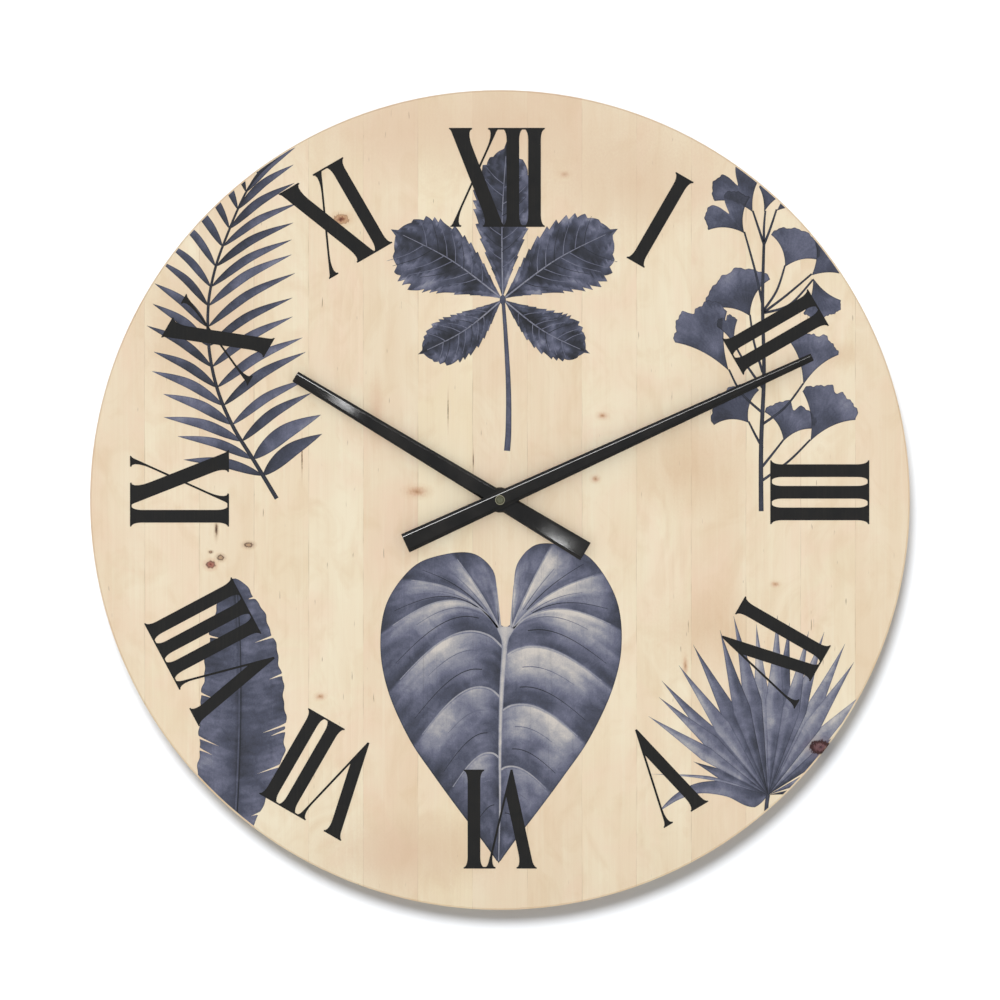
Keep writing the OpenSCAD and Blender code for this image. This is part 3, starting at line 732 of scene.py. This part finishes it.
def make_banana():
    """A broad strap leaf at the lower left with torn edges, cut by the rim."""
    ink = Print("banana_print")
    spine = [(-191, -262), (-188, -215), (-186, -165), (-186, -110), (-190, -56)]
    # shares of the length where the right and the left edge are torn
    tears = {-1: (0.16, 0.3, 0.415, 0.435, 0.615, 0.76, 0.92), 1: (0.35, 0.39, 0.55, 0.78)}

    def half(t, side):
        body = (33 if side < 0 else 28) * max(1 - max((t - 0.42) / 0.58, 0) ** 1.7, 0) ** 0.55
        if side < 0:
            body *= min(1, 0.1 + 2.6 * t)
        depths = [
            math.exp(-(((t - at) / 0.0024) ** 2)) * (0.34 + 0.2 * (n % 2)) for n, at in enumerate(tears[side])
        ]
        torn = max(depths)
        return max(body, 1.0) * (1 - torn) + 0.7 * math.sin(t * 47 + side) + 0.4 * math.sin(t * 113)

    def tone(t, v, place):
        return (
            0.3
            + 0.15 * abs(v) ** 0.7
            - 0.16 * t
            + 0.42 * blot((place.x, place.y * 1.6), 24, 5)
            + 0.16 * blot((place.x * 0.5, place.y * 1.6), 5, 5)
            + 0.04 * math.sin(t * 330) * abs(v)
            - 0.25 * math.exp(-((v / 0.07) ** 2))
        )

    ink.blade(spine, half, tone, 1, columns=12, count=420, lean=0.42)
    ink.stroke(spine[:-1] + [(-188, -62)], 1.6, 0.7, 0.45, 2, count=60)
    ink.stroke([(x + 1.3, z) for x, z in spine[:-1]] + [(-187, -64)], 0.8, 0.5, -0.3, 3, count=60)
    ink.finish(leaf_ink("banana_ink"))


def make_fan():
    """A fan palm at the lower right: pleated blades that part towards their tips."""
    ink = Print("fan_print")
    base = (191, -210)
    draw = random.Random(9)
    # the blades' directions; the first has rolled over, the second is thin, the third short and broad
    rolled, thin, short = range(3)
    rolled_spine = [(0, 0), (-12, -2), (-28, 4), (-48, 5), (-64, -1), (-77, -11)]
    slimness = {thin: 0.03, short: 0.16}
    turns = (189, 171, 157, 147, 139, 132, 124, 116, 107, 100, 94, 88, 82, 76, 70, 64, 56, 47, 37, 24, 9)
    for k, turn in enumerate(turns):
        angle = turn + draw.uniform(-1.2, 1.2)
        length = (80 + 47 * max(math.sin(math.radians(angle)), 0) ** 1.4) * draw.uniform(0.96, 1.04)
        length *= 0.62 if k == short else 1
        bend = -6 if k == thin else draw.uniform(-1.5, 1.5)
        spine = [base, polar(base, angle + bend, length * 0.5), polar(base, angle, length)]
        shade = draw.uniform(0.18, 0.88) - (0.3 if k in (rolled, len(turns) - 1) else 0)
        if k == rolled:
            spine = [(base[0] + x, base[1] + z) for x, z in rolled_spine]

        def half(t, side, length=length, k=k):
            if k == rolled:
                return 7.4 * min(t / 0.12, 1) * max(1 - t, 0) ** 0.7
            widest = slimness.get(k, 0.1) * length * 0.52
            return widest * (t / 0.52 if t < 0.52 else max((1 - t) / 0.48, 0) ** 1.1)

        def tone(t, v, place, shade=shade, k=k):
            pleat = 0.17 if v > 0 else -0.13
            wash = 0.3 * blot(place, 15, k) + 0.14 * blot(place, 5, k)
            return shade + pleat * min(abs(v) * 3, 1) + wash + 0.22 * t - 0.34 * math.exp(-((t / 0.22) ** 2))

        ink.blade(spine, half, tone, 1 + (k * 3) % 5, columns=4, count=50)
    ink.stroke([base, (190, -216), (189, -230)], 2.8, 2.8, 0.05, 7)
    # the ring knot shows through this ink
    ink.finish(leaf_ink("fan_ink", [knot for knot in KNOTS if knot[4] == "ring"]))


make_frond()
make_palmate()
make_sprig()
make_heart()
make_banana()
make_fan()


# ---------------------------------------------------------------- plastics, metals and the rest


def plastic(name, colour, roughness=0.45, texture=0.00003, tint="000000"):
    """Moulded plastic: a fine eroded texture with slightly uneven gloss and colour."""
    graph = Graph(name)
    uneven = graph.noise((60, 60, 60), detail=3)
    fine = graph.noise((2600, 2600, 2600), detail=2)
    shade = graph.mix(rgb(colour), rgb(tint), graph.span(uneven, 0.4, 0.75, 0, 0.12))
    scuff = graph.span(graph.noise((900, 200, 300), detail=4), 0.62, 0.8)
    shade = graph.mix(shade, rgb("b8b4ac"), graph.math("MULTIPLY", scuff, 0.08))
    graph.set(Base_Color=shade, Roughness=graph.span(uneven, 0.3, 0.7, roughness - 0.07, roughness + 0.07))
    graph.set(IOR=1.5)
    graph.bump(fine, texture, 0.5)
    return graph.material


def metal(name, colour, dull, roughness=0.3, stretch=(300, 300, 300)):
    """Bare metal with machining or drawing marks and patches where it has dulled."""
    graph = Graph(name)
    marks = graph.noise(stretch, detail=4, rough=0.7)
    patch = graph.noise((130, 130, 130), detail=4, warp=0.8)
    shade = graph.mix(rgb(colour), rgb(dull), graph.span(patch, 0.42, 0.72, 0, 0.7))
    worn = graph.span(patch, 0.3, 0.7, roughness - 0.05, roughness + 0.12)
    gloss = graph.math("ADD", graph.span(marks, 0.3, 0.7, -0.09, 0.09), worn)
    graph.set(Base_Color=shade, Roughness=gloss, Metallic=1.0)
    graph.bump(marks, 0.00002, 0.45)
    return graph.material


def rubber(name, colour):
    """Black rubber, greyed by dust."""
    graph = Graph(name)
    dust = graph.noise((240, 240, 240), detail=5, rough=0.7)
    shade = graph.mix(rgb(colour), rgb("6a665f"), graph.span(dust, 0.5, 0.8, 0, 0.35))
    graph.set(Base_Color=shade, Roughness=graph.span(dust, 0.3, 0.7, 0.68, 0.85), Specular_IOR_Level=0.3)
    graph.bump(dust, 0.00008, 0.5)
    return graph.material


def black_print():
    """Thick black ink with a faint wood grain in its gloss."""
    graph = Graph("black_print")
    fibre = graph.noise((700, 700, 12), detail=3)
    mottle = graph.noise((90, 90, 90), detail=3)
    shade = graph.mix(rgb("202020"), rgb("282726"), graph.span(fibre, 0.4, 0.7))
    shade = graph.mix(shade, rgb("1b1c1e"), graph.span(mottle, 0.45, 0.7, 0, 0.6))
    graph.set(Base_Color=shade, Roughness=graph.span(fibre, 0.3, 0.7, 0.5, 0.64), Specular_IOR_Level=0.15)
    graph.bump(fibre, 0.00004, 0.5)
    return graph.material


def lacquer():
    """Glossy black enamel on the hands, with dust-fine orange peel."""
    graph = Graph("black_lacquer")
    peel = graph.noise((420, 420, 420), detail=2)
    haze = graph.noise((60, 60, 60), detail=4)
    shade = graph.mix(rgb("050505"), rgb("0d0c0b"), graph.span(haze, 0.4, 0.7))
    graph.set(Base_Color=shade, Roughness=graph.span(haze, 0.3, 0.7, 0.08, 0.16), IOR=1.42)
    graph.set(Specular_IOR_Level=0.4)
    graph.bump(peel, 0.000012, 0.35)
    return graph.material


def circuit():
    """Green solder mask over a glass weave."""
    graph = Graph("circuit_green")
    weave = graph.node("TexChecker", {"Vector": graph.place, "Scale": 1400.0}, out=1)
    cloud = graph.noise((160, 160, 160), detail=3)
    shade = graph.mix(rgb("1f5b3a"), rgb("2c7a4c"), graph.span(cloud, 0.4, 0.65))
    shade = graph.mix(shade, rgb("174a2e"), graph.math("MULTIPLY", weave, 0.25))
    graph.set(Base_Color=shade, Roughness=graph.span(cloud, 0.3, 0.7, 0.3, 0.45))
    graph.bump(weave, 0.00001, 0.4)
    return graph.material


def winding():
    """Enamelled copper wire, turn beside turn, with painted shade between the turns and a painted highlight
    along each turn's crown.
    """
    graph = Graph("copper_turns")
    wave = {"Vector": graph.place, "Scale": 1500.0, "Distortion": 0.4, "Detail": 1.0}
    turns = graph.node("TexWave", wave, wave_type="BANDS", bands_direction="X", wave_profile="SIN")
    patch = graph.noise((300, 300, 300), detail=3)
    # painted shade in the grooves between turns and painted highlight on their crowns
    shade = graph.mix(rgb("7c3618"), rgb("c8703a"), turns)
    shade = graph.mix(shade, rgb("5a2512"), graph.span(patch, 0.45, 0.75, 0, 0.5))
    graph.set(Base_Color=shade, Roughness=graph.span(patch, 0.3, 0.7, 0.25, 0.4), Metallic=0.85)
    graph.bump(turns, 0.00005, 0.7)
    return graph.material


def sleeve():
    """The cell's plain shrink sleeve: dark, with a band of a second colour at its positive end."""
    graph = Graph("cell_sleeve_film")
    _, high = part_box("cell_jacket")
    along = graph.node("SeparateXYZ", {0: graph.place}, out="X")
    band = graph.span(along, high.x - 0.0125, high.x - 0.0122)
    edge = graph.span(along, high.x - 0.0022, high.x - 0.0019)
    rub = graph.noise((400, 60, 60), detail=4)
    shade = graph.mix(rgb("23282c"), rgb("c08a3a"), band)
    shade = graph.mix(shade, rgb("dcdcd8"), edge)
    shade = graph.mix(shade, rgb("8d8d88"), graph.span(rub, 0.62, 0.8, 0, 0.3))
    graph.set(Base_Color=shade, Roughness=graph.span(rub, 0.3, 0.7, 0.24, 0.4), Coat_Weight=0.3)
    graph.bump(rub, 0.00003, 0.4)
    return graph.material


def cap():
    """The cap nut's aged brass, with a painted highlight as a paler flange and painted shade as a dark line
    where the dome meets the flange.
    """
    graph = Graph("aged_brass_and_painted_light")
    from_axis = graph.vector("LENGTH", graph.vector("MULTIPLY", graph.place, (1, 0, 1)), out="Value")
    patch = graph.noise((900, 900, 900), detail=3)
    shade = graph.mix(rgb("7d7f68"), rgb("5b5a48"), graph.span(patch, 0.4, 0.7, 0, 0.7))
    # painted highlight: a paler ring over the flange
    shade = graph.mix(shade, rgb("b9b89c"), graph.span(from_axis, 0.0028, 0.003))
    # painted shade: a dark line where the dome meets the flange
    painted_shade_gap = graph.math("ABSOLUTE", graph.math("SUBTRACT", from_axis, 0.0026))
    shade = graph.mix(shade, rgb("2c2c24"), graph.span(painted_shade_gap, 0.0001, 0.0003, 0.9, 0))
    graph.set(Base_Color=shade, Roughness=graph.span(patch, 0.3, 0.7, 0.3, 0.42), Metallic=0.6)
    graph.bump(patch, 0.00002, 0.5)
    return graph.material


ink_black = black_print()
steel = metal("zinc_plate", "c9cac6", "8f908c", 0.34, (260, 260, 1400))
core = metal("core_plate", "9a9a98", "6d6c6a", 0.4)
brass = metal("turned_brass", "d8b25a", "9c7a38", 0.26, (500, 40, 500))
nut_brass = cap()
dark_case = plastic("case_moulding", "1c1d1e", 0.42)
pale_moulding = plastic("pale_moulding", "e4e2d8", 0.4, tint="b9b29c")
wheel_moulding = plastic("wheel_moulding", "ece7d6", 0.36, tint="c9bd97")
grey_rubber = rubber("bumper_rubber_skin", "26262a")
enamel = lacquer()

LOOKS = {
    ink_black: ["numerals"],
    steel: [
        "sawtooth_hanger", "hanger_screws", "cell_terminal", "positive_contact", "negative_contact",
        "dial_washer",
    ],
    core: ["stator", "coil_core"],
    brass: ["threaded_bush", "fixing_nut", "hour_hand_collet", "minute_hand_collet"],
    nut_brass: ["hand_nut"],
    dark_case: ["case_front", "case_back", "chip_cover"],
    pale_moulding: ["train_plate", "coil_bobbin"],
    wheel_moulding: [
        "setting_knob", "minute_wheel", "hour_wheel", "cannon_pinion", "centre_wheel", "third_wheel",
        "seconds_wheel", "intermediate_wheel", "rotor_pinion",
    ],
    grey_rubber: ["bumper_left", "bumper_right", "rubber_washer"],
    enamel: ["hour_hand", "minute_hand"],
    circuit(): ["circuit_board"],
    winding(): ["coil_winding"],
    sleeve(): ["cell_jacket"],
    metal("magnet_face", "5c5c60", "3a3a3d", 0.45): ["rotor_magnet"],
    metal("crystal_can", "d2d2d0", "a2a2a0", 0.22, (200, 1200, 200)): ["quartz_crystal"],
}
for look, names in LOOKS.items():
    for name in names:
        dress(name, look)


# ---------------------------------------------------------------- hands with softened ridges


def softened(name, radius, body):
    """A copy of a CAD bar whose ridges are rounded as a pressed and enamelled bar's are."""
    source = NODES[name]
    mesh = source.data.copy()
    piece = bpy.data.objects.new(name + "_bar", mesh)
    bpy.context.scene.collection.objects.link(piece)
    bm = bmesh.new()
    bm.from_mesh(mesh)
    bmesh.ops.remove_doubles(bm, verts=bm.verts, dist=1e-6)
    bmesh.ops.dissolve_limit(bm, angle_limit=math.radians(1), verts=bm.verts, edges=bm.edges)
    ridges = []
    for edge in bm.edges:
        if len(edge.link_faces) == 2 and edge.calc_length() > 0.004:
            normals = [f.normal for f in edge.link_faces]
            if math.degrees(normals[0].angle(normals[1])) > 15 and all(n.y < -0.3 for n in normals):
                ridges.append(edge)
    shape = {"offset": radius, "segments": 5, "profile": 0.5, "affect": "EDGES", "clamp_overlap": True}
    bmesh.ops.bevel(bm, geom=ridges, **shape)
    bm.to_mesh(mesh)
    bm.free()
    mesh.shade_smooth()
    mesh.set_sharp_from_angle(angle=math.radians(14))
    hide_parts(name)
    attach(piece, body)
    return piece


bars = [
    softened("hour_hand", 0.6 * MM, "hour_hand_assembly"),
    softened("minute_hand", 0.9 * MM, "minute_hand_assembly"),
]


# ---------------------------------------------------------------- stage, lights and camera

# metres from the camera to the wall clock's back, and across the picture at the dial
DISTANCE = 4.0
FRAME_WIDTH = 0.7122
SENSOR = 36
# how far the floor lies under the clock, and the wall behind it
FLOOR_DROP = 0.12
WALL_GAP = 0.0005
# the hands' directions, clockwise from twelve, and the lengths that the glints' shares refer to
HOUR = (math.radians(301.1), 0.175)
MINUTE = (math.radians(65.4), 0.245)
# how far the hands' faces stand before the dial
HAND_LIFT = 0.008


def plane(name, half, level, material, upright=False):
    """A square of the stage: a floor at the height level, or upright a wall at the depth level."""
    mesh = bpy.data.meshes.new(name)
    flat = [(-half, -half), (half, -half), (half, half), (-half, half)]
    corners = [(x, level, z) if upright else (x, z, level) for x, z in flat]
    mesh.from_pydata(corners, [], [(0, 1, 2, 3)])
    thing = bpy.data.objects.new(name, mesh)
    bpy.context.scene.collection.objects.link(thing)
    mesh.materials.append(material)
    return thing


def plain(name, colour):
    """Matt paint, as a graph that can be added to."""
    graph = Graph(name)
    graph.set(Base_Color=rgb(colour), Roughness=0.9, Specular_IOR_Level=0.1)
    return graph


plane("floor", 3.0, cad_box[0].z - FLOOR_DROP, plain("floor_paint", "e9e8e5").material)

# the wall is clear when seen from behind, so that it doesn't hide the clock's back
paint = plain("wall_paint", "c1c4c8")
behind = paint.node("NewGeometry", out="Backfacing")
clear = paint.node("BsdfTransparent")
shown = paint.node("MixShader", {0: behind, 1: paint.bsdf.outputs[0], 2: clear})
paint.tree.links.new(shown, paint.tree.nodes["Material Output"].inputs[0])
wall = plane("wall", 2.4, cad_box[1].y + WALL_GAP, paint.material, upright=True)
wall.visible_shadow = False
wall.visible_diffuse = False
wall.visible_glossy = False

scene = bpy.context.scene
scene.view_settings.view_transform = "Standard"
scene.world = bpy.data.worlds.new("studio")
scene.world.use_nodes = True
studio = scene.world.node_tree.nodes["Background"]
studio.inputs["Color"].default_value = (1, 1, 1, 1)
studio.inputs["Strength"].default_value = 0.72


def lamp(name, kind, place, target, energy, size=None, angle=None, only=None):
    """A light that looks at the target and lights only the named objects, if any are named."""
    data = bpy.data.lights.new(name, kind)
    data.energy = energy
    if size:
        data.shape = "RECTANGLE"
        data.size, data.size_y = size
    if angle:
        data.angle = math.radians(angle)
    thing = bpy.data.objects.new(name, data)
    bpy.context.scene.collection.objects.link(thing)
    thing.location = place
    thing.rotation_mode = "QUATERNION"
    thing.rotation_quaternion = (Vector(target) - Vector(place)).to_track_quat("-Z", "Y")
    if only:
        lit = bpy.data.collections.new(name + "_lit")
        for member in only:
            lit.objects.link(member)
        thing.light_linking.receiver_collection = lit
    return thing


# the wall's own light throws the soft shadow that hugs the lower rim
lamp("wall_light", "SUN", (-0.35, -2.0, 1.1), (0, 0, 0), 5.0, angle=22, only=[wall])
# a soft front light evens out the dial, and a faint one from above and behind lights the back
dial = [NODES[name] for name in STAVES] + [NODES["numerals"]]
dial += [thing for thing in bpy.data.objects if thing.name.endswith("_print")]
lamp("front_light", "SUN", (0, -3, 0), (0, 0, 0), 0.62, angle=10, only=dial)
lamp("back_light", "SUN", (-1.2, 2.4, 1.6), (0, 0, 0), 0.9, angle=25)


def glint(hand, share, across, tilt, reach, size, radiance, aside=0.0):
    """A strip light where the camera sees it mirrored in a ridge, a bevel or the flat of a hand.

    hand is a direction and a length, share the place along it, and across the side that counts as
    positive. tilt is the mirroring face's slope to that side in degrees, reach the light's distance,
    and aside a step off the hand's middle. Sizes and distances are in metres.
    """
    angle, length = hand
    ahead = Vector((math.sin(angle), 0, math.cos(angle)))
    side = Vector((-ahead.z, 0, ahead.x)) * across
    spot = ahead * (length * share) + side * aside + Vector((0, DIAL_Y - HAND_LIFT, 0))
    slope = math.radians(tilt)
    normal = Vector((0, -math.cos(slope), 0)) + side * math.sin(slope)
    view = (Vector((0, -DISTANCE, 0)) - spot).normalized()
    mirrored = normal * (2 * normal.dot(view)) - view
    place = spot + mirrored * reach
    watts = radiance * math.pi * size[0] * size[1]
    light = lamp(f"glint_{len(bpy.data.lights)}", "AREA", place, spot, watts, size, only=bars)
    light.visible_camera = False
    light.light_linking.blocker_collection = light.light_linking.receiver_collection
    # the strip's long side runs along the hand
    axis = (spot - place).normalized()
    long_side = (ahead - axis * ahead.dot(axis)).normalized()
    short_side = long_side.cross(axis)
    turn = Matrix((long_side, short_side, -axis)).transposed()
    light.rotation_quaternion = turn.to_quaternion()


# the minute hand's ridge, two flares on the hour hand's flat, and faint lines on the bevels
glint(MINUTE, 0.35, 1, 17, 2.0, (2.0, 0.42), 50)
glint(HOUR, -0.285, 1, 0, 0.16, (0.019, 0.001), 150, aside=0.0042)
glint(HOUR, 0.75, -1, 0, 0.16, (0.018, 0.003), 60, aside=0.0016)
glint(HOUR, -0.33, 1, 38, 1.5, (0.06, 0.25), 8)
glint(HOUR, 0.1, 1, 38, 1.5, (0.7, 0.2), 1.6)
glint(MINUTE, 0.3, -1, 38, 1.5, (1.0, 0.2), 1.2)

camera_data = bpy.data.cameras.new("camera")
camera = bpy.data.objects.new("camera", camera_data)
scene.collection.objects.link(camera)
scene.camera = camera
camera.location = (0, -DISTANCE, 0)
camera.rotation_euler = (math.radians(90), 0, 0)
camera_data.sensor_width = SENSOR
camera_data.lens = SENSOR * (DISTANCE + DIAL_Y) / FRAME_WIDTH
